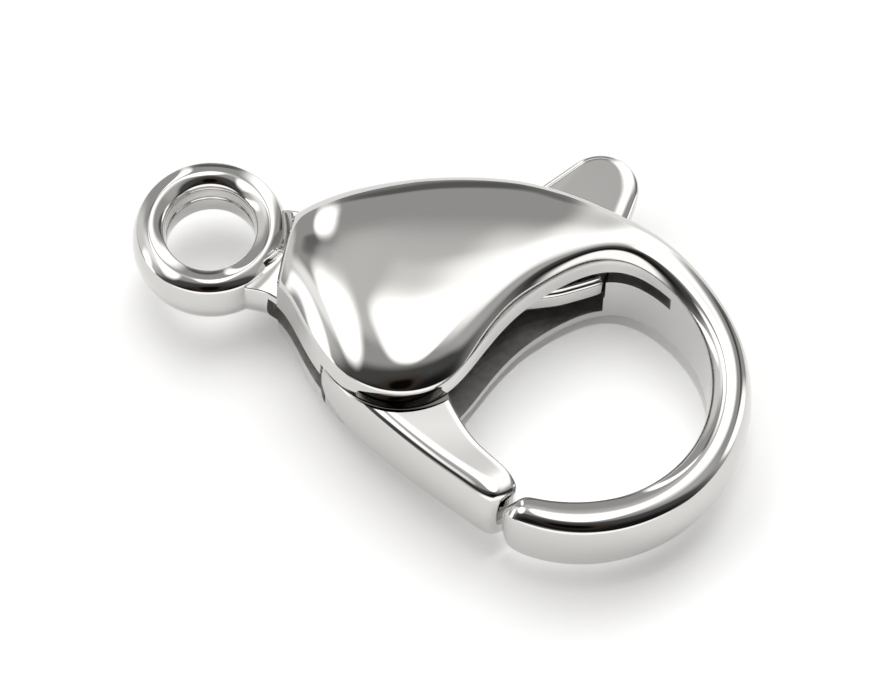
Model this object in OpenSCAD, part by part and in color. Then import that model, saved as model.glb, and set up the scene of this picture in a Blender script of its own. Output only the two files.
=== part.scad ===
// Lobster clasp lying on its side, millimetres.
// Origin at the middle of the end ring's bore, +Z along that bore.
// +X runs from the ring to the far end of the hook, +Y towards the thumb tab.

/* [Overall] */
// Length from the end ring's centre to the far end of the hook
reach = 20.6; // [19:0.1:23]
// Width across housing and hook, without the thumb tab
spread = 12.4; // [11.6:0.1:13.6]
// Thickness of the housing between its two rims
rim_thk = 4.6; // [4.3:0.1:5.4]
// Thickness of the hook between its edges
hook_thk = 2.8; // [2.4:0.1:3.2]
// Rise of each domed face above the housing's rim
dome_rise = 0.66; // [0.4:0.02:0.9]
// Rise of the hook's rounded top above its edges
hook_crown = 0.15; // [0.1:0.01:0.25]
// Swell of the outer walls at mid height
wall_bulge = 0.21; // [0.1:0.01:0.3]
// Depth of the flat on the lower dome, on which the clasp lies
rest_flat = 0.08; // [0.04:0.01:0.12]

/* [Edges] */
// Rounding of the inner and lower edges
inner_edge_r = 0.18; // [0.1:0.01:0.25]
// Rounding of the housing's far edge
rim_edge_r = 0.5; // [0.3:0.02:0.6]
// Rounding of the hook's outer edge
hook_edge_r = 0.18; // [0.1:0.01:0.25]

/* [End ring] */
// Diameter of the hole in the end ring
ring_bore_d = 3.3; // [2.8:0.1:3.5]
// Outer diameter of the end ring
ring_outer_d = 5.7; // [5.3:0.1:6]
// Thickness of the end ring between its edges
ring_thk = 1.9; // [1.6:0.1:2.2]
// Rise of the ring's rounded top above its edges
ring_crown = 0.19; // [0.1:0.01:0.25]
// Swell of the ring's outer wall
ring_bulge = 0.28; // [0.1:0.01:0.35]
// Thickness of the neck between ring and housing
neck_thk = 2.0; // [1.6:0.1:2.2]

/* [Housing] */
// Thickness of the upper cheek at the rim
upper_cheek = 0.92; // [0.8:0.02:1]
// Thickness of the lower cheek at the rim
lower_cheek = 0.58; // [0.5:0.02:0.7]
// Running gap between the lever and the housing
lever_gap = 0.07; // [0.05:0.01:0.1]
// Radius of the rounded cheeks about the pivot
cheek_r = 2.9; // [2.8:0.02:3]

/* [Lever] */
// Thickness of the lever's plate and thumb tab
plate_thk = 1.13; // [0.9:0.01:1.2]
// Radius of the arm's shoulder about the pivot
shoulder_r = 3.32; // [3.27:0.01:3.45]
// Radius of the hub round the pin
hub_r = 1.6; // [1.4:0.05:1.8]
// Thickness of the arm between its edges
arm_thk = 2.7; // [2.5:0.05:2.9]
// Rise of the arm's rounded faces above its edges
arm_crown = 0.31; // [0.2:0.01:0.35]
// Rounding of the plate's and the tab's edges
tab_edge_r = 0.22; // [0.1:0.01:0.3]
// Radius of the thumb tab's round end
tab_r = 1.34; // [1.1:0.02:1.5]
// Angle through which the lever opens
open_deg = 26; // [20:1:28]

/* [Pivot pin] */
// Diameter of the pivot pin
pin_d = 1.0; // [0.8:0.05:1.2]
// Depth of the pin's blind seat in the upper cheek
pin_seat = 0.6; // [0.4:0.05:0.8]
// Radial clearance between the pin and the lever
pin_run = 0.04; // [0.02:0.01:0.08]
// Radial clearance between the pin and the housing
pin_fit = 0.01; // [0.01:0.01:0.02]

/* [Hidden] */

// Steps between two rows of a table, and points across a profile
BODY_STEPS = 2;
ARM_STEPS = 3;
TOP_STEPS = 8;
EDGE_STEPS = 3;
WALL_STEPS = 4;
// Exponent of the crowned top on the hook, and what is added to it on the dome
HOOK_POWER = 2.5;
DOME_POWER = 0.8;
// Share of the outer wall's swell that is left on the hook
HOOK_SWELL = 0.3;

// Cut depth beyond any surface
over = 1;
rim_half = rim_thk / 2;
hook_half = hook_thk / 2;
cavity_top = rim_half - upper_cheek;
cavity_bottom = -(rim_half - lower_cheek);
hub_top = cavity_top - lever_gap;
hub_bottom = cavity_bottom + lever_gap;
slot_half = plate_thk / 2 + lever_gap;
body_top = rim_half + dome_rise;
ring_r = ring_outer_d / 2;
bore_r = ring_bore_d / 2;

// Pivot, from the ring's centre
pivot = [reach * 0.387, -spread * 0.055];

// Sections of the casting from the neck round to the tip of the hook.
// Columns: near edge x and y, far edge x and y, as shares of reach and spread;
// then shares of the rim's thickness, of the dome's rise and of the near wall's swell.
NEAR_X = 0;
NEAR_Y = 1;
FAR_X = 2;
FAR_Y = 3;
RIM = 4;
DOME = 5;
SWELL = 6;
BODY_ROWS = [
    [0.166, -0.115, 0.128, 0.133,  0.80, 0.00, 1.0],
    [0.177, -0.122, 0.136, 0.147,  0.98, 0.16, 1.0],
    [0.204, -0.148, 0.152, 0.185,  1.00, 0.45, 1.0],
    [0.248, -0.206, 0.183, 0.247,  1.00, 0.72, 1.0],
    [0.295, -0.257, 0.228, 0.312,  1.00, 0.90, 1.0],
    [0.343, -0.291, 0.276, 0.370,  1.00, 1.00, 1.0],
    [0.398, -0.302, 0.324, 0.419,  1.00, 1.00, 1.0],
    [0.453, -0.278, 0.377, 0.463,  1.00, 1.00, 1.0],
    [0.499, -0.219, 0.425, 0.495,  1.00, 0.95, 0.6],
    [0.524, -0.129, 0.472, 0.518,  1.00, 0.85, 0.2],
    [0.536, -0.010, 0.523, 0.531,  1.00, 0.75, 0.0],
    [0.554,  0.115, 0.574, 0.539,  1.00, 0.65, 0.0],
    [0.588,  0.229, 0.631, 0.533,  1.00, 0.50, 0.0],
    [0.642,  0.344, 0.691, 0.524,  0.98, 0.35, 0.0],
    [0.712,  0.383, 0.762, 0.496,  0.86, 0.20, 0.0],
    [0.794,  0.347, 0.833, 0.446,  0.65, 0.10, 0.0],
    [0.858,  0.281, 0.902, 0.373,  0.42, 0.00, 0.0],
    [0.906,  0.176, 0.963, 0.257,  0.20, 0.00, 0.0],
    [0.929,  0.034, 1.000, 0.074,  0.08, 0.00, 0.0],
    [0.917, -0.101, 0.993, -0.115, 0.00, 0.00, 0.0],
    [0.876, -0.231, 0.936, -0.283, 0.00, 0.00, 0.0],
    [0.812, -0.317, 0.850, -0.404, 0.00, 0.00, 0.0],
    [0.750, -0.361, 0.773, -0.452, 0.00, 0.00, 0.0],
    [0.721, -0.377, 0.726, -0.461, 0.00, 0.00, 0.0],
    [0.706, -0.387, 0.698, -0.453, -0.10, 0.00, 0.0],
    [0.700, -0.398, 0.686, -0.435, -0.35, 0.00, 0.0],
];

// Sections of the gate arm from its root to its tip.
// Columns: outer edge x and y, inner edge x and y as above, share of the arm's
// thickness and share of its crown.
ARM_HALF = 4;
ARM_CROWN = 5;
// Exponent of the arm's crown, and share of the wall's swell on its outer side
ARM_POWER = 3;
ARM_SWELL = 0.7;
ARM_ROWS = [
    [0.294, -0.254, 0.500, -0.157, 1.00, 1.00],
    [0.342, -0.302, 0.519, -0.201, 1.00, 1.00],
    [0.390, -0.334, 0.537, -0.227, 1.00, 1.00],
    [0.434, -0.357, 0.558, -0.253, 1.00, 1.00],
    [0.500, -0.387, 0.591, -0.289, 1.00, 0.95],
    [0.565, -0.416, 0.623, -0.315, 1.00, 0.85],
    [0.616, -0.432, 0.652, -0.340, 1.00, 0.75],
    [0.650, -0.441, 0.673, -0.356, 0.98, 0.60],
    [0.670, -0.438, 0.690, -0.372, 0.90, 0.30],
];

// Place from shares of reach and spread
function place(x, y) = [x * reach, y * spread];
function mix(a, b, t) = a + (b - a) * t;

// Point at angle a on a circle of radius r about the pivot
function about_pivot(r, a) = pivot + r * [cos(a), sin(a)];
function arc(r, a0, a1, n) = [for (i = [0:n]) about_pivot(r, mix(a0, a1, i / n))];

// Smooth curve through the rows of a table
function spline(a, b, c, d, t) =
    0.5 * (2 * b + (c - a) * t + (2 * a - 5 * b + 4 * c - d) * t * t
    + (3 * b - a - 3 * c + d) * t * t * t);
function before(rows, i) = i > 0 ? rows[i - 1] : 2 * rows[0] - rows[1];
function after(rows, i) =
    i < len(rows) ? rows[i] : 2 * rows[len(rows) - 1] - rows[len(rows) - 2];
function smooth(rows, steps) = [
    for (i = [0:len(rows) - 2])
        for (k = [0:steps - 1])
            spline(before(rows, i), rows[i], rows[i + 1], after(rows, i + 2), k / steps),
    rows[len(rows) - 1]
];

// Upper half of a profile as [distance from the near edge, height]:
// rounded near edge, crowned top, rounded far edge
function upper_profile(width, half, rise, power, near_r, far_r) =
    let (
        slope = atan(2 * power * rise / width),
        near_w = near_r * (1 - sin(slope)),
        far_w = far_r * (1 - sin(slope))
    )
    [
        for (i = [EDGE_STEPS:-1:1])
            let (a = mix(slope, 90, i / EDGE_STEPS))
            [near_r * (1 - sin(a)), half - near_r * (cos(slope) - cos(a))],
        for (i = [0:TOP_STEPS])
            let (u = 2 * i / TOP_STEPS - 1)
            [mix(near_w, width - far_w, i / TOP_STEPS), half + rise * (1 - pow(abs(u), power))],
        for (i = [1:EDGE_STEPS])
            let (a = mix(slope, 90, i / EDGE_STEPS))
            [width - far_r * (1 - sin(a)), half - far_r * (cos(slope) - cos(a))]
    ];

// Whole profile: the upper half, the swollen far wall, the same below,
// and the near wall
function profile(width, half, rise, power, near_r, far_r, near_swell, far_swell) =
    let (
        top = upper_profile(width, half, rise, power, near_r, far_r),
        last = len(top) - 1,
        near_h = top[0][1],
        far_h = top[last][1]
    )
    concat(
        top,
        [for (i = [1:WALL_STEPS - 1])
            let (w = 1 - 2 * i / WALL_STEPS)
            [width + far_swell * (1 - w * w), far_h * w]],
        [for (i = [last:-1:0]) [top[i][0], -top[i][1]]],
        [for (i = [1:WALL_STEPS - 1])
            let (w = 2 * i / WALL_STEPS - 1)
            [-near_swell * (1 - w * w), near_h * w]]
    );

// Profile stood up on the line from one edge to the other
function stand(near, far, points) =
    let (way = (far - near) / norm(far - near))
    [for (p = points) [near.x + way.x * p[0], near.y + way.y * p[0], p[1]]];

function body_section(row) =
    let (
        near = place(row[NEAR_X], row[NEAR_Y]),
        far = place(row[FAR_X], row[FAR_Y]),
        far_swell = wall_bulge * mix(HOOK_SWELL, 1, max(row[RIM], 0))
    )
    stand(near, far, profile(
        norm(far - near) - far_swell,
        mix(hook_half, rim_half, row[RIM]),
        mix(hook_crown, dome_rise, row[DOME]),
        HOOK_POWER + DOME_POWER * row[DOME],
        inner_edge_r,
        mix(hook_edge_r, rim_edge_r, max(row[RIM], 0)),
        wall_bulge * row[SWELL],
        far_swell
    ));

function arm_section(row) =
    let (
        outer = place(row[NEAR_X], row[NEAR_Y]),
        inner = place(row[FAR_X], row[FAR_Y])
    )
    stand(outer, inner, profile(
        norm(inner - outer),
        arm_thk / 2 * row[ARM_HALF],
        arm_crown * row[ARM_CROWN],
        ARM_POWER,
        inner_edge_r,
        inner_edge_r,
        wall_bulge * ARM_SWELL,
        0
    ));

// Middle of a closed loop
function middle(ring) = [for (k = [0:2]) [for (p = ring) 1] * [for (p = ring) p[k]] / len(ring)];

// Solid through a list of closed loops, each with as many points;
// the two ends are closed by triangles round their middles
module loft(loops) {
    n = len(loops[0]);
    m = len(loops);
    first = n * m;
    last = first + 1;
    points = concat([for (ring = loops) for (p = ring) p], [middle(loops[0]), middle(loops[m - 1])]);
    sides = [
        for (i = [0:m - 2])
            for (j = [0:n - 1])
                let (a = i * n + j, b = i * n + (j + 1) % n)
                for (f = [[a, b, a + n], [b, b + n, a + n]]) f
    ];
    ends = [
        for (j = [0:n - 1])
            let (k = (j + 1) % n, end = (m - 1) * n)
            for (f = [[first, k, j], [last, end + j, end + k]]) f
    ];
    polyhedron(points, concat(sides, ends));
}

// Flat-topped block of a plan shape between two heights
module block(shape, low, high) {
    translate([0, 0, low])
        linear_extrude(high - low) polygon(shape);
}

module about_pin(r, low, high) {
    translate([pivot.x, pivot.y, low]) cylinder(h = high - low, r = r, $fn = 96);
}

// End ring: a true bore, a rounded crown above and below, a swollen outer wall
module end_ring() {
    edge = ring_r - ring_bulge;
    half = ring_thk / 2;
    steps = 8;
    rotate_extrude($fn = 96)
        polygon(concat(
            [for (i = [0:steps])
                let (u = 2 * i / steps - 1)
                [mix(bore_r, edge, i / steps), half + ring_crown * (1 - u * u)]],
            [for (i = [1:3])
                let (w = 1 - i / 2)
                [edge + ring_bulge * (1 - w * w), half * w]],
            [for (i = [steps:-1:0])
                let (u = 2 * i / steps - 1)
                [mix(bore_r, edge, i / steps), -half - ring_crown * (1 - u * u)]]
        ));
}

// Neck from the ring to the end of the housing, hollowed along both sides
neck_near = place(0.172, -0.118);
neck_far = place(0.138, 0.150);
neck_root = place(0.190, 0.010);
module neck() {
    block(concat(
        [[ring_r * 0.72, -ring_r * 0.62], [ring_r * 0.95, -ring_r * 0.56]],
        [neck_near, neck_root, neck_far],
        [[ring_r * 0.90, ring_r * 0.66], [ring_r * 0.64, ring_r * 0.70],
         [ring_r * 0.70, 0]]
    ), -neck_thk / 2, neck_thk / 2);
}

// Angles about the pivot: where the arm meets the side wall, and the play there
seam_a = -126;
seam_play = 0.6;

// Chamber between the cheeks, open towards the arm and the claw
chamber_left = place(0.285, -0.060);
chamber = concat(
    [about_pivot(shoulder_r + over, seam_a - seam_play),
     about_pivot(hub_r + lever_gap, seam_a - seam_play)],
    [chamber_left],
    [place(0.275, 0.080), place(0.318, 0.270), place(0.415, 0.400),
     place(0.515, 0.447), place(0.600, 0.444), place(0.655, 0.400),
     place(0.655, 0.340), place(0.630, 0.250), place(0.600, 0.130),
     place(0.570, -0.010), place(0.560, -0.130), place(0.560, -0.300),
     place(0.400, -0.420)]
);

// Level slot for the lever's plate, which reaches out through the far wall.
// disc_out is how far the plate's disc stands out past the cheeks, plate_lean the
// angle about the pivot of its left corner, slot_reach the slot's room for that corner
disc_out = 0.04;
tab_mid = place(0.569, 0.634);
tab_foot_left = place(0.432, 0.420);
tab_foot_right = place(0.655, 0.356);
function opened(p, a) =
    pivot + [cos(a) * (p - pivot).x - sin(a) * (p - pivot).y,
             sin(a) * (p - pivot).x + cos(a) * (p - pivot).y];
plate_r = cheek_r + disc_out;
plate_lean = 142;
slot_reach = 0.3;
TAB_START = 153;
TAB_END = 4;
tab_left = tab_mid + tab_r * [cos(TAB_START), sin(TAB_START)];
tab_right = tab_mid + tab_r * [cos(TAB_END), sin(TAB_END)];
sweep_a = open_deg + 1;
slot_left = about_pivot(plate_r + slot_reach, plate_lean + sweep_a);
slot_mid = opened(tab_foot_left + [-lever_gap * 2, 0], sweep_a);
slot_out = opened(tab_left + [-lever_gap * 2, over], sweep_a);
plate_slot = [
    pivot,
    slot_left,
    slot_mid,
    slot_out,
    tab_right + [lever_gap * 1.5, over],
    tab_foot_right + [lever_gap, 0],
    place(0.640, 0.300),
    place(0.600, 0.130),
    place(0.570, -0.010)
];

// Slot along the side wall, from the neck to the arm; it bites into the neck's side
side_slot = [
    place(0.150, -0.095),
    place(0.240, -0.105),
    pivot,
    about_pivot(shoulder_r + over, seam_a + 15),
    place(0.140, -0.260)
];

// Slot behind the claw opening's wall, beyond the end of the lever
claw_slot = [
    place(0.640, 0.420),
    place(0.700, 0.447),
    place(0.740, 0.432),
    place(0.766, 0.392),
    place(0.783, 0.340),
    place(0.770, 0.290),
    place(0.640, 0.250)
];

module body() {
    color("silver")
    difference() {
        union() {
            loft([for (row = smooth(BODY_ROWS, BODY_STEPS)) body_section(row)]);
            end_ring();
            neck();
        }
        translate([0, 0, -ring_thk]) cylinder(h = 2 * ring_thk, r = bore_r, $fn = 96);
        block(chamber, cavity_bottom, cavity_top);
        translate([0, 0, -slot_half]) linear_extrude(2 * slot_half) {
            polygon(plate_slot);
            polygon(side_slot);
            translate(pivot) circle(r = plate_r + lever_gap, $fn = 96);
        }
        block(claw_slot, plate_thk / 2, cavity_top);
        about_pin(pin_d / 2 + pin_fit, -body_top - over, cavity_top + pin_seat);
        translate([0, -spread, -body_top - over])
            cube([reach, 2 * spread, over + rest_flat]);
    }
}

// Angle trimmed off the arm's root beside the side wall
TRIM_A = 60;

// Arm without what the cheeks and the side wall leave no room for
module arm() {
    difference() {
        loft([for (row = smooth(ARM_ROWS, ARM_STEPS)) arm_section(row)]);
        about_pin(shoulder_r, hub_top, body_top);
        about_pin(shoulder_r, -body_top, hub_bottom);
        block([pivot, about_pivot(reach, seam_a), about_pivot(reach, seam_a - TRIM_A)],
            -body_top, body_top);
    }
}

// Start of the disc's edge, a full turn, and the steps along the disc and the tab
DISC_START = -40;
TURN = 360;
DISC_STEPS = 26;
TAB_STEPS = 14;

// Outline of the lever's plate, clockwise: thumb tab, tail along the claw's wall, drawn
// back inside the cheeks to the root of the arm, disc round the pin
plate_outline = concat(
    [tab_foot_left],
    [for (i = [0:TAB_STEPS])
        let (a = mix(TAB_START, TAB_END, i / TAB_STEPS))
        tab_mid + tab_r * [cos(a), sin(a)]],
    [tab_foot_right, place(0.634, 0.321), place(0.613, 0.288), place(0.595, 0.260),
     place(0.570, 0.232), place(0.545, 0.205), place(0.528, 0.130), place(0.507, 0.030),
     place(0.496, -0.070)],
    arc(plate_r, DISC_START, plate_lean - TURN, DISC_STEPS)
);

// Outline drawn in by an inset, at height z
function drawn_in(outline, inset, z) =
    let (n = len(outline))
    [for (i = [0:n - 1])
        let (
            way = outline[(i + 1) % n] - outline[(i + n - 1) % n],
            side = [way.y, -way.x] / norm(way)
        )
        [outline[i].x + inset * side.x, outline[i].y + inset * side.y, z]];

// Middle of the plate's rounded edge, as shares of its radius
CUT_IN = 0.3;
CUT_DOWN = 0.3;

module plate() {
    half = plate_thk / 2;
    loft([
        drawn_in(plate_outline, tab_edge_r, -half),
        drawn_in(plate_outline, tab_edge_r * CUT_IN, tab_edge_r * CUT_DOWN - half),
        drawn_in(plate_outline, 0, tab_edge_r - half),
        drawn_in(plate_outline, 0, half - tab_edge_r),
        drawn_in(plate_outline, tab_edge_r * CUT_IN, half - tab_edge_r * CUT_DOWN),
        drawn_in(plate_outline, tab_edge_r, half)
    ]);
}

// Full-height root of the arm between hub and shoulder: its two angles about the
// pivot, and how far it stays inside the shoulder
root_a = seam_a + 2;
ROOT_END = -38;
ROOT_STEPS = 16;
root_inset = 0.15;

module lever() {
    color("gainsboro")
    difference() {
        union() {
            plate();
            about_pin(hub_r, hub_bottom, hub_top);
            block(concat([pivot, about_pivot(hub_r - root_inset, root_a)],
                arc(shoulder_r - root_inset, root_a, ROOT_END, ROOT_STEPS)), hub_bottom, hub_top);
            arm();
        }
        about_pin(pin_d / 2 + pin_run, -body_top, body_top);
    }
}

// Recess of the pin's lower end below the crown, and its gap to the seat's end
pin_recess = 0.12;
pin_play = 0.03;

module pivot_pin() {
    color("darkgray")
        about_pin(pin_d / 2, -body_top + pin_recess, cavity_top + pin_seat - pin_play);
}

body();
lever();
pivot_pin();
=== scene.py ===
import math
from collections import namedtuple
import bpy
import numpy as np
from mathutils import Matrix, Vector


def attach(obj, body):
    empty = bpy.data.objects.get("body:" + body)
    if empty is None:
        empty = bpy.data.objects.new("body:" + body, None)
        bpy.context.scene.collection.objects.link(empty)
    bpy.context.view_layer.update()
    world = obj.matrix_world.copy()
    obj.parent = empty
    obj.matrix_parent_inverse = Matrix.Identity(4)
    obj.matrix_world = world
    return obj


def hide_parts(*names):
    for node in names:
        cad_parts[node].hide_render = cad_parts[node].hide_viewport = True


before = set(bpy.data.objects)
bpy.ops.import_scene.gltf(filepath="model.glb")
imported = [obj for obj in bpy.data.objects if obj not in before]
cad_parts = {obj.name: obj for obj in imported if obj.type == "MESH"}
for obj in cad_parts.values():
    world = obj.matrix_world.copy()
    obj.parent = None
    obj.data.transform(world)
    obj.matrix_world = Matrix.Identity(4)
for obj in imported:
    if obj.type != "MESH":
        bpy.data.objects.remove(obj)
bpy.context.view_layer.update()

# The casting
# Ring, neck, housing and hook are one lost-wax casting in steel, tumbled and then mirror
# polished.  The outer skin of housing and hook is one sweep: a crowned profile stood up
# on a line across the part, carried from the neck round the claw to the tip.
MM = 0.001          # sizes are given in millimetres and meshes are in metres
REACH = 20.6        # ring centre to the far end of the hook
SPREAD = 12.4       # across housing and hook
PLAN = np.array([REACH, SPREAD])        # points in plan are given as shares of these
RIM, HOOK = 2.3, 1.36           # half thickness at the housing's rim and at the hook's edges
DOME, CROWN = 0.66, 0.19        # rise of the dome and of the hook's top
DOME_POWER, HOOK_POWER = 3.3, 2.5       # how square-shouldered the two are
RIM_EDGE, HOOK_EDGE = 0.70, 0.16        # radius of the outer edge on housing and hook
NEAR_EDGE, BELLY_EDGE = 0.38, 0.19      # radius of the near edge, on the sweep and on the belly
BELLY_ROW, BELLY_ROWS = 6.5, 2.2        # table row of the belly's middle, and rows to each side
BULGE, TIP_BULGE = 0.21, 0.06   # swell of the outer wall, and what is left of it at the tip
OUTER_POWER, TIP_EDGE = 1.8, 0.10       # shape of the tip's outer half, radius of its near edge
TIP_LEVEL = 0.4                 # share by which the crown's near fall lessens towards the tip
TIP_ROW, TIP_ROWS = 18.6, 2.2   # table row where the tip's form sets in, and within how many
PIVOT = PLAN * [0.387, -0.055]  # the lever's pivot in plan
TURN = math.radians(26)         # from the frame's X axis to the camera's right
SHARP = math.radians(28)        # folds sharper than this are shaded as edges

# near edge x, y and far edge x, y as shares of the plan; then how far the thickness and the
# crown's rise go from the hook's to the housing's, and the near wall's share of the swell
CASTING_ROWS = np.array([
    [0.166, -0.115, 0.128, 0.133, 0.80, 0.00, 1.0],
    [0.177, -0.122, 0.136, 0.147, 0.98, 0.16, 1.0],
    [0.204, -0.148, 0.152, 0.185, 1.00, 0.45, 1.0],
    [0.248, -0.206, 0.183, 0.247, 1.00, 0.72, 1.0],
    [0.295, -0.257, 0.228, 0.312, 1.00, 0.90, 1.0],
    [0.343, -0.291, 0.276, 0.370, 1.00, 1.00, 1.0],
    [0.398, -0.302, 0.324, 0.419, 1.00, 1.00, 1.0],
    [0.453, -0.278, 0.377, 0.463, 1.00, 1.00, 1.0],
    [0.499, -0.219, 0.425, 0.495, 1.00, 0.95, 0.6],
    [0.524, -0.129, 0.472, 0.518, 1.00, 0.85, 0.2],
    [0.536, -0.010, 0.523, 0.531, 1.00, 0.75, 0.0],
    [0.554, 0.115, 0.574, 0.539, 1.00, 0.65, 0.0],
    [0.588, 0.229, 0.631, 0.533, 1.00, 0.50, 0.0],
    [0.642, 0.344, 0.691, 0.524, 0.98, 0.35, 0.0],
    [0.712, 0.383, 0.762, 0.496, 0.86, 0.20, 0.0],
    [0.794, 0.347, 0.833, 0.446, 0.65, 0.10, 0.0],
    [0.858, 0.281, 0.902, 0.373, 0.42, 0.00, 0.0],
    [0.906, 0.176, 0.963, 0.257, 0.20, 0.00, 0.0],
    [0.929, 0.034, 1.000, 0.074, 0.08, 0.00, 0.0],
    [0.917, -0.101, 0.993, -0.115, 0.00, 0.00, 0.0],
    [0.876, -0.231, 0.936, -0.283, 0.00, 0.00, 0.0],
    [0.812, -0.317, 0.850, -0.404, 0.00, 0.00, 0.0],
    [0.750, -0.361, 0.773, -0.452, 0.00, 0.00, 0.0],
    [0.721, -0.372, 0.726, -0.461, 0.00, 0.00, 0.0],
    [0.706, -0.384, 0.700, -0.455, -0.10, 0.00, 0.0],
    [0.700, -0.398, 0.687, -0.437, -0.35, 0.00, 0.0],
])


def through(rows, steps):
    """Natural cubic spline through the rows of a table, in so many steps from row to row.

    Second derivatives come from the tridiagonal system
    m[i-1] + 4 m[i] + m[i+1] = 6 (r[i-1] - 2 r[i] + r[i+1]), zero at both ends;
    between two rows the value is the usual cubic of the local share t.
    """
    n = len(rows)
    system = np.eye(n) * 4 + np.eye(n, k=1) + np.eye(n, k=-1)
    system[0], system[-1] = np.eye(n)[0], np.eye(n)[-1]
    bend = np.zeros_like(rows)
    bend[1:-1] = 6 * (rows[:-2] - 2 * rows[1:-1] + rows[2:])
    m = np.linalg.solve(system, bend)
    at = np.linspace(0, n - 1, (n - 1) * steps + 1)
    i = np.minimum(at.astype(int), n - 2)
    t = (at - i)[:, None]
    return (rows[i] * (1 - t) + rows[i + 1] * t
            + ((1 - t) ** 3 - (1 - t)) * m[i] / 6 + (t ** 3 - t) * m[i + 1] / 6)


def bell(width):
    """Steps k from -3 to 3 times the width, and weights exp(-(k / width)^2 / 2) that add
    up to 1."""
    k = np.arange(-3 * width, 3 * width + 1)
    w = np.exp(-0.5 * (k / width) ** 2)
    return k, w / w.sum()


def eased(values, width):
    """Running mean with bell-shaped weights along the first axis; past each end the values
    go on as their own mirror image about the end value."""
    head = 2 * values[0] - values[3 * width:0:-1]
    tail = 2 * values[-1] - values[-2:-3 * width - 2:-1]
    long = np.concatenate([head, values, tail])
    weights = bell(width)[1]
    return np.stack([np.convolve(column, weights, "valid") for column in long.T], 1)


def smooth(t):
    """Smooth step from 0 to 1: 3 t^2 - 2 t^3 with t held between 0 and 1."""
    t = t.clip(0, 1)
    return t * t * (3 - 2 * t)


Side = namedtuple("Side", "fall reach power radius swell")


def crowned_profile(width, top, near, far, crown=56, edge=9, wall=20):
    """Closed profiles, one row per station: distance from the near edge and height.

    The near and the far Side each give their half of the profile.  Crown: the top less
    fall (1 - d / reach)^power for both sides, where d is the distance from that side as a
    share of the crown's width, times the whole width; its points lie closer together
    towards the ends.
    Edge: distance radius (1 - sin a), and radius (cos e - cos a) below the crown's end, a
    from the crown's end slope e to the lean at which the wall starts.
    Wall: swell (1 - w^2) outwards at w times the height of the edge's foot, w from 1 to
    -1.  The lower half mirrors the upper one.
    """
    def column(value):
        return np.broadcast_to(np.asarray(value, float), (len(width),))[:, None]

    width, top = column(width), column(top)
    near, far = Side(*map(column, near)), Side(*map(column, far))
    # the crown's share of the width, near enough for its slope at the ends
    crown_share = 1 - (near.radius + far.radius) / (2 * width)

    def rounded(side):
        start = np.arctan(side.power * side.fall / (side.reach * crown_share))
        stop = np.pi / 2 - np.arctan(2 * side.swell / (top - side.fall - side.radius))
        a = start + (stop - start) * np.linspace(0, 1, edge + 1)[None]
        return (side.radius * (1 - np.sin(a)),
                top - side.fall - side.radius * (np.cos(start) - np.cos(a)))

    near_x, near_z = rounded(near)
    far_x, far_z = rounded(far)
    far_x = width - far_x
    even = np.linspace(0, 1, crown + 1)[None]
    s = 0.65 * even + 0.35 * (1 - np.cos(np.pi * even)) / 2
    crown_x = near_x[:, :1] + (far_x[:, :1] - near_x[:, :1]) * s
    crown_z = (top - near.fall * (1 - s * width / near.reach).clip(0) ** near.power
               - far.fall * (1 - (1 - s) * width / far.reach).clip(0) ** far.power)
    upper_x = np.hstack([near_x[:, :0:-1], crown_x, far_x[:, 1:]])
    upper_z = np.hstack([near_z[:, :0:-1], crown_z, far_z[:, 1:]])
    w = np.linspace(1, -1, wall + 1)[None, 1:-1]
    x = np.hstack([upper_x, far_x[:, -1:] + far.swell * (1 - w ** 2),
                   upper_x[:, ::-1], near_x[:, -1:] - near.swell * (1 - w ** 2)])
    z = np.hstack([upper_z, far_z[:, -1:] * w, -upper_z[:, ::-1], -near_z[:, -1:] * w])
    return x, z


def solid(name, points, faces):
    """Object from points in metres and faces counted anticlockwise from outside."""
    mesh = bpy.data.meshes.new(name)
    mesh.from_pydata(points.tolist(), [], faces)
    mesh.shade_smooth()
    thing = bpy.data.objects.new(name, mesh)
    bpy.context.collection.objects.link(thing)
    return thing


def skin(name, loops):
    """Solid through closed loops (stations, points, 3), in millimetres: a quad between
    neighbours on two neighbouring loops, and a fan to the middle of each end."""
    n, m = loops.shape[:2]
    points = np.concatenate([loops.reshape(-1, 3), loops[[0, -1]].mean(1)]) * MM
    i, j = np.meshgrid(np.arange(n - 1), np.arange(m), indexing="ij")
    k = (j + 1) % m
    quads = np.stack([i * m + j, i * m + m + j, i * m + m + k, i * m + k], -1).reshape(-1, 4)
    j = np.arange(m)
    k = (j + 1) % m
    first = np.stack([np.full(m, n * m), j, k], 1)
    last = np.stack([np.full(m, n * m + 1), (n - 1) * m + k, (n - 1) * m + j], 1)
    return solid(name, points, quads.tolist() + first.tolist() + last.tolist())


def lengths(lines):
    """Length of each row of x and y."""
    return np.linalg.norm(lines, axis=1)


rows = eased(through(CASTING_ROWS, steps=10), width=4)
near = rows[:, 0:2] * PLAN
far = rows[:, 2:4] * PLAN
rim, dome, swell = rows[:, 4], rows[:, 5].clip(0), rows[:, 6].clip(0)
length = lengths(far - near)
rise = CROWN + (DOME - CROWN) * dome
# the near edge is rounder along the sweep into the claw than on the housing's belly
row = np.linspace(0, len(CASTING_ROWS) - 1, len(rows))
belly = np.exp(-((row - BELLY_ROW) / BELLY_ROWS) ** 2)
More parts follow.
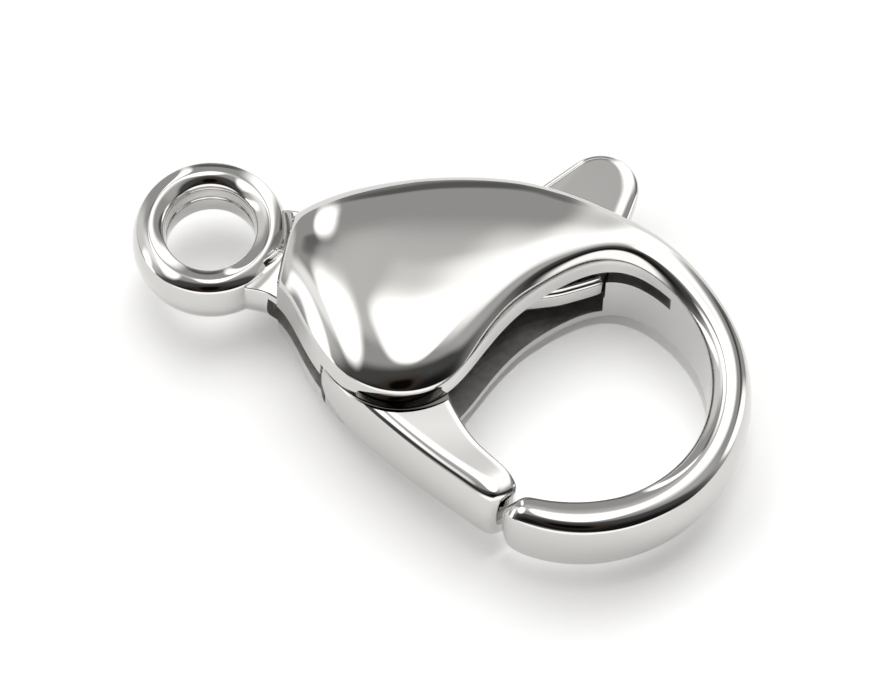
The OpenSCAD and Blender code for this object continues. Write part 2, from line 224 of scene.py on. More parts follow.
# towards the tip the outer wall is upright and the top rolls down to it
tip = smooth((row - TIP_ROW) / TIP_ROWS)
near_round = NEAR_EDGE - (NEAR_EDGE - BELLY_EDGE) * belly - (NEAR_EDGE - TIP_EDGE) * tip
far_round = HOOK_EDGE + (RIM_EDGE - HOOK_EDGE) * rim.clip(0)
far_bulge = BULGE - (BULGE - TIP_BULGE) * tip
width = length - far_bulge
power = HOOK_POWER + (DOME_POWER - HOOK_POWER) * dome
x, z = crowned_profile(
    width, HOOK + (RIM - HOOK) * rim + rise,
    Side(rise * (1 - TIP_LEVEL * tip), width / 2, power, near_round, BULGE * swell),
    Side(rise, width / 2, power + (OUTER_POWER - power) * tip, far_round, far_bulge))
way = (far - near) / length[:, None]
loops = np.dstack([near[:, None] + way[:, None] * x[..., None], z])
casting = skin("casting", loops)


def turned(name, r, z, steps=180):
    """Closed solid of revolution round the Z axis: a closed profile of radii r and
    heights z carried through a full turn."""
    a = np.linspace(0, 2 * np.pi, steps, endpoint=False)[:, None]
    points = np.stack([r * np.cos(a), r * np.sin(a), np.broadcast_to(z, (steps, len(z)))], -1)
    m = len(r)
    i, j = np.meshgrid(np.arange(steps), np.arange(m), indexing="ij")
    n, k = (i + 1) % steps, (j + 1) % m
    quads = np.stack([i * m + j, i * m + k, n * m + k, n * m + j], -1).reshape(-1, 4)
    return solid(name, points.reshape(-1, 3) * MM, quads.tolist())


# The end ring has a rounded crown on both faces, an outer wall that swells a little and a
# bore that narrows a little to its middle.  Two fine lines run round the bore: the mould's
# parting line just above the middle, and one below the upper edge.
BORE, RING_EDGE = 1.65, 2.66    # radius of the bore and of the outer wall, at their edges
RING_HALF = 1.13                # half thickness at the crown
RING_FALL, RING_POWER = 0.155, 1.5      # fall of the crown to both sides, and its shape
BORE_LINES = [(0.09, 0.18, 0.09), (0.03, 0.80, 0.04)]   # depth, height, half width
wall_width = RING_EDGE - BORE
x, z = crowned_profile(
    np.array([wall_width]), RING_HALF,
    Side(RING_FALL, wall_width / 2, RING_POWER, radius=0.22, swell=0.08),
    Side(RING_FALL, wall_width / 2, RING_POWER, radius=0.17, swell=0.18),
    crown=36, edge=12, wall=90)
x, z = x[0], z[0]
groove = sum(depth * np.exp(-((z - height) / half) ** 2) for depth, height, half in BORE_LINES)
ring = turned("ring", BORE + x + np.where(x < 0, groove, 0), z)

# The neck is the short bridge cast between ring and housing, thinner than either and
# drawn in along both sides.  Each of its stations is an arc about the ring's centre:
# radius, near and far angle in degrees, half thickness at the crown.
NECK_ROWS = np.array([
    [2.10, -46.0, 52.0, 0.98],
    [2.35, -44.0, 51.0, 1.00],
    [2.60, -38.5, 47.0, 1.02],
    [2.90, -31.5, 41.5, 1.04],
    [3.20, -26.5, 38.5, 1.08],
    [3.55, -24.0, 34.5, 1.14],
    [4.10, -22.0, 28.0, 1.20],
])
GROOVE, GROOVE_HALF = 0.30, 0.16        # depth and half width of the groove along the ring
GROOVE_FROM, GROOVE_OVER = 3, 10        # angle where it sets in, and over how many degrees
FOLD = np.array([[2.22, -0.74], [2.80, 0.60]])      # the raised fold's two ends in plan
FOLD_RISE, FOLD_HALF, FOLD_POWER = 0.11, 0.15, 0.8      # its height, half width and end shape
FRONT_SLOPE = 0.15              # fall of the neck's top towards the camera
FRONT = 1.3                     # how far in front of the ring's centre that begins
rows = through(NECK_ROWS, steps=16)
radius, half = rows[:, 0], rows[:, 3]
near_a, far_a = np.radians(rows[:, 1]), np.radians(rows[:, 2])
width = radius * (far_a - near_a)
x, z = crowned_profile(
    width, half,
    Side(fall=0.03, reach=width / 2, power=2, radius=0.12, swell=0.18),
    Side(fall=0.10, reach=width / 2, power=2, radius=0.15, swell=0.10),
    crown=120, edge=8, wall=12)
a = near_a[:, None] + x / radius[:, None]
x, y = radius[:, None] * np.cos(a), radius[:, None] * np.sin(a)
# a groove runs along the far part of the ring, and a raised fold crosses from its lower
# end to the housing
groove = (GROOVE * np.exp(-((radius[:, None] - RING_EDGE) / GROOVE_HALF) ** 2)
          * smooth((np.degrees(a) - GROOVE_FROM) / GROOVE_OVER))
run = FOLD[1] - FOLD[0]
share_along = ((x - FOLD[0, 0]) * run[0] + (y - FOLD[0, 1]) * run[1]) / (run @ run)
off = ((y - FOLD[0, 1]) * run[0] - (x - FOLD[0, 0]) * run[1]) / np.linalg.norm(run)
fold = (FOLD_RISE * np.exp(-(off / FOLD_HALF) ** 2)
        * np.sin(np.pi * share_along.clip(0, 1)) ** FOLD_POWER)
# in front of the fold the top slopes down to the side wall
slope = FRONT_SLOPE * (y * math.cos(TURN) - x * math.sin(TURN) + FRONT).clip(None, 0)
neck = skin("neck", np.stack([x, y, z * (1 + (slope + fold - groove) / half[:, None])], -1))


def prism(name, outline, low, high):
    """Straight block: a plan outline, counted either way round, between two heights."""
    plan = np.asarray(outline, float)
    after = np.roll(plan, -1, 0)
    area = np.sum(plan[:, 0] * after[:, 1] - plan[:, 1] * after[:, 0])
    plan = plan if area > 0 else plan[::-1]
    n = len(plan)
    points = np.vstack([np.column_stack([plan, np.full(n, low)]),
                        np.column_stack([plan, np.full(n, high)])]) * MM
    j = np.arange(n)
    k = (j + 1) % n
    walls = np.stack([j, k, n + k, n + j], 1).tolist()
    return solid(name, points, walls + [j[::-1].tolist(), (n + j).tolist()])


def circle(steps):
    """Points of the unit circle, one row each, counted anticlockwise from the X axis."""
    a = np.linspace(0, 2 * np.pi, steps, endpoint=False)
    return np.column_stack([np.cos(a), np.sin(a)])


def round_pin(name, r, low, high, steps=144):
    """Upright cylinder about the pivot."""
    return prism(name, PIVOT + r * circle(steps), low, high)


def about_pivot(r, degrees):
    """Plan point at a radius and an angle about the pivot."""
    a = np.radians(degrees)
    return PIVOT + r * np.array([np.cos(a), np.sin(a)])


def combine(thing, how, *others):
    """Union or difference of closed solids; the others are used up."""
    for other in others:
        step = thing.modifiers.new(how, "BOOLEAN")
        step.operation, step.object, step.solver = how, other, "EXACT"
        step.material_mode = "TRANSFER"
        made = bpy.data.meshes.new_from_object(
            thing.evaluated_get(bpy.context.evaluated_depsgraph_get()))
        thing.modifiers.clear()
        thing.data = made
        bpy.data.objects.remove(other)


# The housing is cast hollow: a chamber between two cheeks, open towards the arm and the
# claw; a level slot through the far wall for the thumb tab; a slot along the side
# wall; and a shallow undercut behind the claw.  They keep the core's rough skin.
TOP, BOTTOM = 1.38, -1.72       # the chamber's roof and floor
SLOT = 0.635                    # half height of the level slots
SEAM, SEAM_OUT, SEAM_IN = -126.6, 4.32, 1.67    # angle and radii of the chamber's open side
SLOT_R, SLOT_ANGLE = 3.24, 169  # the tab slot's corner about the pivot
SIDE_ANGLE = -111               # how far round the side slot reaches
DISC_ROOM = 3.01                # radius that the lever's disc turns in
PLATE_HALF = 0.565              # half thickness of the lever's plate
PIN_SEAT, SEAT_TOP = 0.51, 1.98         # radius of the pin's seat, and how far up it goes
REST = -2.88                    # height of the small flat that the housing rests on
FLAT_LONG, FLAT_HALF = 20, 12   # length and half width of the block that cuts it
PAST = 4                        # a height past both faces
MISS = 0.001                    # by which one cutter's faces miss another's plane
chamber = prism("chamber", np.vstack([
    about_pivot(SEAM_OUT, SEAM), about_pivot(SEAM_IN, SEAM),
    np.array([[0.285, -0.060], [0.275, 0.080], [0.318, 0.270], [0.415, 0.400],
              [0.515, 0.447], [0.600, 0.444], [0.655, 0.400], [0.655, 0.340],
              [0.630, 0.250], [0.600, 0.130], [0.570, -0.010], [0.560, -0.130],
              [0.560, -0.300], [0.400, -0.420]]) * PLAN]), BOTTOM, TOP)
tab_slot = prism("tab slot", np.vstack([
    PIVOT, about_pivot(SLOT_R, SLOT_ANGLE),
    np.array([[0.278, 0.262], [0.272, 0.570], [0.656, 0.740], [0.658, 0.356],
              [0.640, 0.300], [0.600, 0.130], [0.570, -0.010]]) * PLAN]), -SLOT, SLOT)
disc_slot = round_pin("disc slot", DISC_ROOM, -SLOT - MISS, SLOT + MISS)
side_slot = prism("side slot", np.vstack([
    np.array([[0.150, -0.095], [0.240, -0.105]]) * PLAN, PIVOT,
    about_pivot(SEAM_OUT, SIDE_ANGLE), np.array([[0.140, -0.260]]) * PLAN]),
    -SLOT + 2 * MISS, SLOT - 2 * MISS)
claw_slot = prism("claw slot", np.array([
    [0.640, 0.420], [0.700, 0.447], [0.740, 0.432], [0.766, 0.392], [0.783, 0.340],
    [0.770, 0.290], [0.640, 0.250]]) * PLAN, PLATE_HALF, TOP - 2 * MISS)
pin_seat = round_pin("pin seat", PIN_SEAT, -PAST, SEAT_TOP, steps=64)
rest_flat = prism("rest flat", [[0, -FLAT_HALF], [FLAT_LONG, -FLAT_HALF],
                                [FLAT_LONG, FLAT_HALF], [0, FLAT_HALF]], -PAST, REST)


def metal(name):
    """Bare metal: the material, its node tree, and the place on the piece that its
    patterns follow."""
    material = bpy.data.materials.new(name)
    material.use_nodes = True
    tree = material.node_tree
    tree.nodes["Principled BSDF"].inputs["Metallic"].default_value = 1
    return material, tree, tree.nodes.new("ShaderNodeTexCoord").outputs["Object"]


def grained(tree, place, scale, detail, roughness=0.5):
    """Cloudy pattern from 0 to 1 over a place."""
    noise = tree.nodes.new("ShaderNodeTexNoise")
    noise.inputs["Scale"].default_value = scale
    noise.inputs["Detail"].default_value = detail
    noise.inputs["Roughness"].default_value = roughness
    tree.links.new(place, noise.inputs["Vector"])
    return noise.outputs["Fac"]


def tint_by(tree, pattern, tint, low, high):
    """The metal's colour: the tint times low where the pattern is 0, times high where it
    is 1, and at most white."""
    blend = tree.nodes.new("ShaderNodeMapRange")
    blend.data_type = "FLOAT_VECTOR"
    darkest, lightest = blend.inputs[9], blend.inputs[10]
    darkest.default_value = [c * low for c in tint]
    lightest.default_value = [min(c * high, 1) for c in tint]
    tree.links.new(pattern, blend.inputs["Vector"])
    tree.links.new(blend.outputs["Vector"], tree.nodes["Principled BSDF"].inputs["Base Color"])


def gloss_by(tree, pattern, low, high, start=0, end=1):
    """The metal's roughness: low up to the pattern's value start, high from its value end,
    and evenly between them."""
    blend = tree.nodes.new("ShaderNodeMapRange")
    blend.inputs["From Min"].default_value = start
    blend.inputs["From Max"].default_value = end
    blend.inputs["To Min"].default_value = low
    blend.inputs["To Max"].default_value = high
    tree.links.new(pattern, blend.inputs["Value"])
    tree.links.new(blend.outputs["Result"], tree.nodes["Principled BSDF"].inputs["Roughness"])


def bump_by(tree, pattern, strength, distance):
    """Relief of the metal's surface: distance in metres from the pattern's 0 to its 1."""
    bump = tree.nodes.new("ShaderNodeBump")
    bump.inputs["Strength"].default_value = strength
    bump.inputs["Distance"].default_value = distance
    tree.links.new(pattern, bump.inputs["Height"])
    tree.links.new(bump.outputs["Normal"], tree.nodes["Principled BSDF"].inputs["Normal"])


def polished(name, tint, rough):
    """Mirror-polished steel: a faint cloudiness in tint and gloss and a very shallow
    orange-peel bump, as polishing leaves on a tumbled casting."""
    material, tree, place = metal(name)
    cloud = grained(tree, place, scale=420, detail=4)
    fine = grained(tree, place, scale=2600, detail=3)
    tint_by(tree, cloud, tint, low=0.985, high=1.015)
    gloss_by(tree, fine, rough * 0.7, rough * 1.4, start=0.3, end=0.75)
    bump_by(tree, cloud, strength=0.02, distance=0.00002)
    return material


def as_cast(name, tint, rough):
    """The core's skin inside the casting: dull grey steel with a coarse grain and short
    drag marks that run across the wall."""
    material, tree, place = metal(name)
    stretch = tree.nodes.new("ShaderNodeMapping")
    stretch.inputs["Scale"].default_value = (1, 1, 0.25)
    tree.links.new(place, stretch.inputs["Vector"])
    grain = grained(tree, stretch.outputs["Vector"], scale=3200, detail=6, roughness=0.65)
    tint_by(tree, grain, tint, low=0.6, high=1.3)
    gloss_by(tree, grain, rough * 0.7, rough * 1.3)
    bump_by(tree, grain, strength=0.6, distance=0.00004)
    return material


STEEL = (0.59, 0.583, 0.572)
MIRROR = 0.035                  # roughness of the polished skin
polished_skin = polished("polished casting", STEEL, MIRROR)
core_skin = as_cast("core skin", (0.42, 0.41, 0.40), 0.38)
for part in (casting, ring, neck, rest_flat):
    part.data.materials.append(polished_skin)
cutters = (chamber, tab_slot, disc_slot, side_slot, claw_slot, pin_seat)
for cutter in cutters:
    cutter.data.materials.append(core_skin)
combine(casting, "UNION", ring, neck)
combine(casting, "DIFFERENCE", *cutters, rest_flat)
casting.data.set_sharp_from_angle(angle=SHARP)
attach(casting, "body")
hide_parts("body")

# The lever
# One formed piece of polished steel that turns on the pin: the gate arm that closes the
# claw, a full-height root and hub about the pin, and a flat plate that runs through the
# housing and ends in the thumb tab.
ARM_EDGE, ARM_RISE = 1.35, 0.27         # half thickness at the arm's edges, rise of its crown
ROLL, ROLL_REACH, ROLL_POWER = 0.09, 0.85, 3    # fall, reach and shape of the roll outwards
ROLL_WIDEST = 0.75              # share of the arm's width that the roll takes at most
INNER_FALL, INNER_REACH = 0.02, 0.25    # fall and reach of the roll inwards
SLANT = 0.060                   # rise of the top per millimetre towards the outer edge
OUTER_EDGE, INNER_EDGE, NOSE = 0.36, 0.13, 0.24     # radii of the long edges and of the tip's end
ARM_SWELL = 0.16                # swell of the outer wall
# outer edge x, y and inner edge x, y as shares of the plan; shares of ARM_EDGE and ARM_RISE
ARM_ROWS = np.array([
    [0.294, -0.254, 0.500, -0.157, 1.00, 1.00],
    [0.342, -0.302, 0.519, -0.201, 1.00, 1.00],
    [0.390, -0.334, 0.537, -0.227, 1.00, 1.00],
    [0.434, -0.357, 0.558, -0.253, 1.00, 1.00],
    [0.500, -0.387, 0.591, -0.287, 1.00, 0.97],
    [0.565, -0.412, 0.624, -0.307, 1.00, 0.97],
    [0.616, -0.428, 0.658, -0.324, 1.00, 0.97],
    [0.653, -0.441, 0.682, -0.345, 1.00, 0.88],
    [0.674, -0.439, 0.698, -0.371, 0.99, 0.54],
])


def distances(points):
    """Distance of each point from the first one, along the line through them."""
    return np.concatenate([[0], np.cumsum(lengths(np.diff(points, axis=0)))])


def read_at(table, along, at):
    """Rows of a table at other distances, each column read off evenly between its rows."""
    return np.column_stack([np.interp(at, along, column) for column in table.T])


def round_ended(rows, along, r, plain=90, steps=14):
    """Stations of a table at distances along it, close together over the last stretch r,
    and how far the section is drawn in there: r less the quarter circle's height."""
    turn = np.linspace(0, np.pi / 2, steps)[1:]
    end = along[-1] - r
    at = np.concatenate([np.linspace(0, end, plain), along[-1] - r * (1 - np.sin(turn))])
    drawn = np.concatenate([np.zeros(plain), r * (1 - np.cos(turn))])
    return read_at(rows, along, at), drawn


rows = eased(through(ARM_ROWS, steps=12), width=5)
middle = (rows[:, 0:2] + rows[:, 2:4]) / 2 * PLAN
rows, drawn = round_ended(rows, distances(middle), NOSE)
outer = rows[:, 0:2] * PLAN
inner = rows[:, 2:4] * PLAN
length = lengths(inner - outer)
way = (inner - outer) / length[:, None]
outer = outer + way * drawn[:, None]
length = length - 2 * drawn
reach = np.minimum(ROLL_REACH, ROLL_WIDEST * length)
x, z = crowned_profile(
    length, ARM_EDGE * rows[:, 4] + ARM_RISE * rows[:, 5] - drawn,
    Side(ROLL * reach / ROLL_REACH, reach, ROLL_POWER, OUTER_EDGE, ARM_SWELL),
    Side(INNER_FALL, INNER_REACH, ROLL_POWER, INNER_EDGE, swell=0),
    crown=60, edge=10, wall=16)
z = z * (1 + SLANT * (length[:, None] - x) / z.max(axis=1, keepdims=True))
arm = skin("arm", np.dstack([outer[:, None] + way[:, None] * x[..., None], z]))

# Within a shoulder about the pin the arm's root is turned down to the hub's height, above
# and below, and it is cut back along the casting's side wall.
SHOULDER, LIP = 3.32, 0.07      # radius of the shoulder, and its chamfer
HUB_TOP, HUB_BOTTOM = 1.31, -1.65       # heights that the root and hub are left with
WALL_FROM, WALL_TO, WALL_OUT = -126, -186, 20   # angles about the pivot, and a radius past the arm


def flared(name, radii, heights, steps=180):
    """Upright turned block: circles of given radii about the pivot at heights that go
    down."""
    rounds = np.asarray(radii)[:, None, None] * circle(steps) + PIVOT
    levels = np.broadcast_to(np.asarray(heights)[:, None, None], (len(radii), steps, 1))
    return skin(name, np.concatenate([rounds, levels], -1))


brim = ARM_EDGE + ARM_RISE
shoulder_above = flared("shoulder above", [SHOULDER + 3 * LIP, SHOULDER, SHOULDER],
                        [brim + 2 * LIP, brim - LIP, HUB_TOP])
shoulder_below = round_pin("shoulder below", SHOULDER, -PAST, HUB_BOTTOM)
side_wall = prism("side wall", [PIVOT, about_pivot(WALL_OUT, WALL_FROM),
                                about_pivot(WALL_OUT, WALL_TO)], -PAST, PAST)

# The plate is flat on both faces, round where it turns in the housing and round again at
# the tab; its edge falls away softly on the hook's side and is crisp elsewhere.
DISC_R = 2.94                   # radius of the disc about the pivot
TAB, TAB_R = np.array([0.569, 0.634]) * PLAN, 1.36      # middle and radius of the tab
TAB_FROM = 0.36                 # share of SPREAD past which the plate is tab
SOFT_REACH, SOFT_EDGE = 0.70, 0.16      # width of the soft margin, and of its rounded edge
CRISP_REACH, CRISP_EDGE = 0.28, 0.14    # the same for the crisp one
MARGIN_FALL, MARGIN_POWER = 0.09, 2.4   # how far and how the faces fall over the margin
EDGE_DROP, EDGE_LEAN = 0.18, 25         # height of the rounded edge's arc, and where it starts
THINNER = 0.045                 # half thickness lost for each millimetre beyond the cheeks
THIN_FROM = 0.4                 # how far in front of the ring's centre that begins
soft_side = np.array([math.cos(TURN), math.sin(TURN)])


def inset_loops(outline, crisp_in, soft_in, heights):
    """Closed loops of a plan outline drawn in along its own normals, one for each height.

    The normal at a point is square to the line between its two neighbours.  The inset
    goes from the crisp one to the soft one as the square of how far the tab's edge there
    faces the soft side.
    """
    way = np.roll(outline, -1, 0) - np.roll(outline, 1, 0)
    side = np.stack([way[:, 1], -way[:, 0]], 1) / lengths(way)[:, None]
    soft = ((-side @ soft_side).clip(0) * (outline[:, 1] > TAB_FROM * SPREAD)) ** 2
    inset = crisp_in[:, None] + (soft_in - crisp_in)[:, None] * soft
    return np.concatenate([outline + side * inset[..., None],
                           np.broadcast_to(heights[:, None, None], (*inset.shape, 1))], -1)


def refined(outline, spacing, width):
    """Closed outline resampled at an even spacing and eased by a bell-shaped running mean,
    which rounds its corners."""
    closed = np.vstack([outline, outline[:1]])
    along = distances(closed)
    even = read_at(closed, along, np.arange(0, along[-1], spacing))
    return sum(np.roll(even, -int(k), 0) * weight for k, weight in zip(*bell(width)))


def arc(centre, r, start, end, steps):
    """Points of a circle from one angle to another, in degrees."""
    a = np.radians(np.linspace(start, end, steps))[:, None]
    return centre + r * np.hstack([np.cos(a), np.sin(a)])


outline = np.vstack([
    np.array([[0.432, 0.420]]) * PLAN,
    arc(TAB, TAB_R, start=153, end=4, steps=40),
    np.array([[0.655, 0.356], [0.634, 0.321], [0.613, 0.288], [0.595, 0.260], [0.570, 0.232],
              [0.545, 0.205], [0.528, 0.130], [0.507, 0.030], [0.496, -0.070]]) * PLAN,
    arc(PIVOT, DISC_R, start=-40, end=-218, steps=54),
])
outline = refined(outline, spacing=0.06, width=3)
# the face falls away over its margin, then an arc leads round to the edge
fall = np.linspace(0, 1, 11)
face_z = PLATE_HALF - MARGIN_FALL * fall ** MARGIN_POWER
turn = np.radians(np.linspace(EDGE_LEAN, 90, 8))
arc_in = (1 - np.sin(turn[1:])) / (1 - np.sin(turn[0]))
arc_z = face_z[-1] - EDGE_DROP * (np.cos(turn[0]) - np.cos(turn[1:]))
soft_in = np.concatenate([SOFT_REACH - (SOFT_REACH - SOFT_EDGE) * fall, SOFT_EDGE * arc_in])
crisp_in = np.concatenate([CRISP_REACH - (CRISP_REACH - CRISP_EDGE) * fall, CRISP_EDGE * arc_in])
heights = np.concatenate([face_z, arc_z])
loops = inset_loops(outline, np.concatenate([crisp_in, crisp_in[::-1]]),
                    np.concatenate([soft_in, soft_in[::-1]]),
                    np.concatenate([heights, -heights[::-1]]))[::-1]
# beyond the cheeks the plate thins a little towards the tab's end
beyond = (loops[..., 1] * math.cos(TURN) - loops[..., 0] * math.sin(TURN) + THIN_FROM).clip(0)
loops[..., 2] *= 1 - THINNER * beyond / PLATE_HALF
plate = skin("plate", loops)

# The hub stands about the pin and the root joins it to the arm; both keep the skin that
# they were formed with, and the pin's hole is drilled through them and the plate.
HUB_R, PIN_HOLE = 1.6, 0.54     # radii of the hub and of the pin's hole
ROOT_IN, ROOT_OUT = 1.45, 3.17  # the root's inner corner and its outer radius
ROOT_FROM, ROOT_TO = -124, -38  # its angles about the pivot
hub = round_pin("hub", HUB_R, HUB_BOTTOM, HUB_TOP)
root = prism("root", np.vstack([PIVOT, about_pivot(ROOT_IN, ROOT_FROM),
                                arc(PIVOT, ROOT_OUT, ROOT_FROM, ROOT_TO, steps=30)]),
             HUB_BOTTOM + MISS, HUB_TOP - MISS)
pin_hole = round_pin("pin hole", PIN_HOLE, -PAST, PAST, steps=64)
lever_skin = polished("polished lever", STEEL, MIRROR)
bare = as_cast("lever sides", (0.55, 0.54, 0.53), 0.25)
for part in (arm, plate, shoulder_above, shoulder_below):
    part.data.materials.append(lever_skin)
for part in (hub, root, pin_hole, side_wall):
    part.data.materials.append(bare)
combine(arm, "DIFFERENCE", shoulder_above, shoulder_below, side_wall)
combine(arm, "UNION", plate, hub, root)
combine(arm, "DIFFERENCE", pin_hole)
lever = arm
lever.name = "gate_lever"
# the cuts leave a few doubled faces, which this takes out
lever.data.validate()
lever.data.set_sharp_from_angle(angle=SHARP)
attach(lever, "lever")
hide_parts("lever")

# The pivot pin
# A plain ground steel pin, pressed in from the back and dressed flush; only its lower end
# can be seen.
pin = bpy.data.objects["pivot_pin"]
pin_steel = as_cast("ground pin", (0.62, 0.61, 0.60), 0.2)
if not pin.data.materials:
    pin.data.materials.append(pin_steel)
for slot in pin.material_slots:
    slot.material = pin_steel

# The camera
# The clasp lies on its side, and the camera looks down on it at 64.5 degrees from the gate
# arm's side, through a long lens.
TARGET = Vector((0.009207, -0.000382, 0.0))     # what the camera points at, in metres
DOWN, AWAY = math.radians(64.5), 0.16284        # its dip, and its distance in metres
right = Vector((math.cos(TURN), math.sin(TURN), 0))
forward = Vector((-math.sin(TURN) * math.cos(DOWN), math.cos(TURN) * math.cos(DOWN),
                  -math.sin(DOWN)))
camera = bpy.data.objects.new("camera", bpy.data.cameras.new("camera"))
bpy.context.collection.objects.link(camera)
camera.matrix_world = Matrix.Translation(TARGET - forward * AWAY) @ Matrix(
    (right, right.cross(forward), -forward)).transposed().to_4x4()
camera.data.lens = 189.3
camera.data.sensor_width = 36
camera.data.clip_start = 0.01
bpy.context.scene.camera = camera

# The table
# A white matt table top under the clasp, which reaches past the picture on all sides.
TABLE = 0.6                     # half its side, in metres
table = solid("table", np.array([[-1, -1, 0], [1, -1, 0], [1, 1, 0], [-1, 1, 0]]) * TABLE
              + [0, 0, REST * MM], [[0, 1, 2, 3]])
white = bpy.data.materials.new("white table")
white.use_nodes = True
paint = white.node_tree.nodes["Principled BSDF"]
paint.inputs["Base Color"].default_value = (0.93, 0.93, 0.93, 1)
paint.inputs["Roughness"].default_value = 0.9
paint.inputs["Specular IOR Level"].default_value = 0.0
table.data.materials.append(white)

# The light tent
# Pale grey cloth with white panels overhead, one softbox above and behind the clasp, and
# in front the dark gap that the camera looks through.
CLOTH = (0.46, 0.458, 0.45)
WARM = (1.0, 0.995, 0.98)       # colour of the light from every panel
LENS_BROWN = (0.060, 0.040, 0.032)
LENS_BLACK = (0.004, 0.004, 0.004)
SQUARE = 2.6                    # how square the panels are: 2 is an ellipse
# where each panel is seen from the table, on the plan of the sky: middle across and
# towards the camera, half width across and towards it, lean in degrees, softness of the
# edge as a share of the size, and brightness
PANELS = [
    (0.00, 1.20, 1.60, 0.66, 0, 0.06, 1.70),        # front cloth, low
    (0.03, 0.41, 0.92, 0.215, 0, 0.30, 0.085),      # the gap in front
    (0.03, 0.55, 0.95, 0.130, 0, 0.55, 0.012),      # its dark lower part
    (0.42, 0.03, 0.30, 0.12, 30, 0.60, 0.60),       # sheen beside the gap
    (-0.30, -0.54, 0.10, 0.05, 0, 0.60, 0.20),      # seam of the cloth, left
    (-0.78, -0.30, 0.16, 0.45, 0, 0.50, 0.95),      # side cloth, far left
    (-0.54, -0.15, 0.12, 0.25, -6, 0.50, 1.35),     # side panel, left
    (-0.14, -0.33, 0.08, 0.22, 17, 0.50, 0.82),     # frame between the panels
    (0.03, -0.32, 0.20, 0.26, 10, 0.60, 0.78),      # middle panel's tail
    (0.03, -0.145, 0.150, 0.288, 10, 0.16, 2.30),   # middle panel
    (0.34, -0.60, 0.19, 0.50, 16, 0.45, 1.90),      # right panel
    (-0.37, -0.11, 0.125, 0.36, 24, 0.26, 2.30),    # left panel
    (-0.235, -0.76, 0.060, 0.20, -2, 0.30, 2.20),   # left panel, upper strip
    (-0.93, 0.20, 0.10, 0.42, 30, 0.25, 2.20),      # side cloth, left
    (0.76, -0.40, 0.055, 0.30, -8, 0.50, 0.10),     # seam of the cloth, right
    (0.90, -0.10, 0.10, 0.22, 10, 0.30, 1.80),      # side cloth, right
    (0.00, -0.975, 0.20, 0.02, 0, 0.50, 0.15),      # seam at the back
]
world = bpy.data.worlds.new("light tent")
bpy.context.scene.world = world
world.use_nodes = True
nodes, links = world.node_tree.nodes, world.node_tree.links
seen_from = nodes.new("ShaderNodeTexCoord").outputs["Generated"]


def share_of(axis):
    """Share of the viewing direction along a fixed axis."""
    dot = nodes.new("ShaderNodeVectorMath")
    dot.operation = "DOT_PRODUCT"
    dot.inputs[1].default_value = axis
    links.new(seen_from, dot.inputs[0])
    return dot.outputs["Value"]


def worked(operation, *values):
    """Result of a Math node on sockets and plain numbers."""
    node = nodes.new("ShaderNodeMath")
    node.operation = operation
    for socket, value in zip(node.inputs, values):
        if isinstance(value, (int, float)):
            socket.default_value = value
        else:
            links.new(value, socket)
    return node.outputs[0]


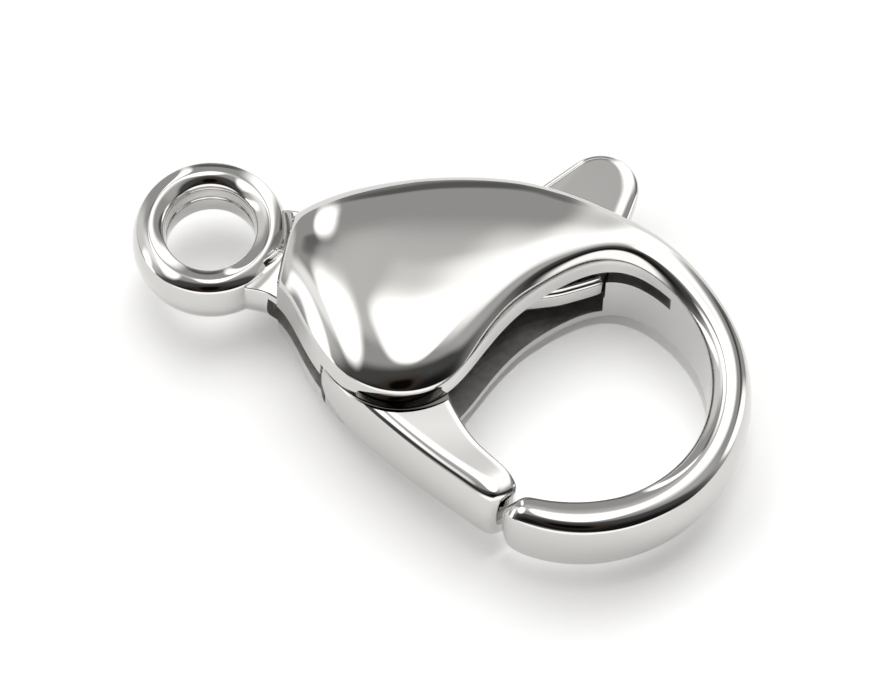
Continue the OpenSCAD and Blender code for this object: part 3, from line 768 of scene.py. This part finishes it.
def panelled(under, middle, half, lean, soft, colour):
    """Colour under with a panel laid over it.

    The direction's plan place, less the middle, is turned by the lean and divided by the
    half sizes to u, v; the panel's share falls smoothly from 1 to 0 as
    (|u|^q + |v|^q)^(1/q), with q = SQUARE, goes from 1 - soft to 1 + soft.
    """
    cos, sin = math.cos(math.radians(lean)), math.sin(math.radians(lean))
    x = worked("SUBTRACT", sideways, middle[0])
    y = worked("SUBTRACT", toward_camera, middle[1])
    u = worked("ADD", worked("MULTIPLY", x, cos / half[0]),
               worked("MULTIPLY", y, sin / half[0]))
    v = worked("SUBTRACT", worked("MULTIPLY", y, cos / half[1]),
               worked("MULTIPLY", x, sin / half[1]))
    size = worked("POWER", worked("ADD", worked("POWER", worked("ABSOLUTE", u), SQUARE),
                                  worked("POWER", worked("ABSOLUTE", v), SQUARE)), 1 / SQUARE)
    cover = nodes.new("ShaderNodeMapRange")
    cover.interpolation_type = "SMOOTHSTEP"
    cover.inputs["From Min"].default_value = 1 + soft
    cover.inputs["From Max"].default_value = 1 - soft
    links.new(size, cover.inputs["Value"])
    mix = nodes.new("ShaderNodeMix")
    mix.data_type = "RGBA"
    mix.inputs["B"].default_value = (*colour, 1)
    links.new(cover.outputs["Result"], mix.inputs["Factor"])
    if isinstance(under, tuple):
        mix.inputs["A"].default_value = (*under, 1)
    else:
        links.new(under, mix.inputs["A"])
    return mix.outputs["Result"]


toward_camera = share_of((math.sin(TURN), -math.cos(TURN), 0))
sideways = share_of((math.cos(TURN), math.sin(TURN), 0))
sky = CLOTH
for across, toward, half_across, half_toward, lean, soft, level in PANELS:
    sky = panelled(sky, (across, toward), (half_across, half_toward), lean, soft,
                   tuple(level * c for c in WARM))
# the camera itself: a brown glow round a black lens
sky = panelled(sky, (-0.03, 0.43), (0.21, 0.10), 0, 0.5, LENS_BROWN)
sky = panelled(sky, (-0.03, 0.435), (0.13, 0.07), 0, 0.3, LENS_BLACK)
links.new(sky, nodes["Background"].inputs["Color"])
nodes["Background"].inputs["Strength"].default_value = 1.0


def hung(name, light):
    """Object for a light that shows in no reflection."""
    lamp = bpy.data.objects.new(name, light)
    lamp.visible_glossy = False
    bpy.context.collection.objects.link(lamp)
    return lamp


softbox = bpy.data.lights.new("softbox", "SUN")
softbox.energy = 1.05
softbox.angle = math.radians(40)
BACK = math.radians(20)         # how far behind the clasp the softbox hangs
down = -Vector((-math.sin(TURN) * math.sin(BACK), math.cos(TURN) * math.sin(BACK),
                math.cos(BACK)))
hung("softbox", softbox).matrix_world = down.to_track_quat("-Z", "Y").to_matrix().to_4x4()

# A small soft spot straight above picks out the table inside the claw.
spot = bpy.data.lights.new("spot", "SPOT")
spot.energy = 0.055
spot.spot_size = math.radians(10)
spot.spot_blend = 0.6
spot.shadow_soft_size = 0.002
hung("spot", spot).location = (0.0148, 0.0002, 0.06)     # metres, above the claw's middle

scene = bpy.context.scene
scene.view_settings.view_transform = "Standard"
scene.view_settings.look = "None"
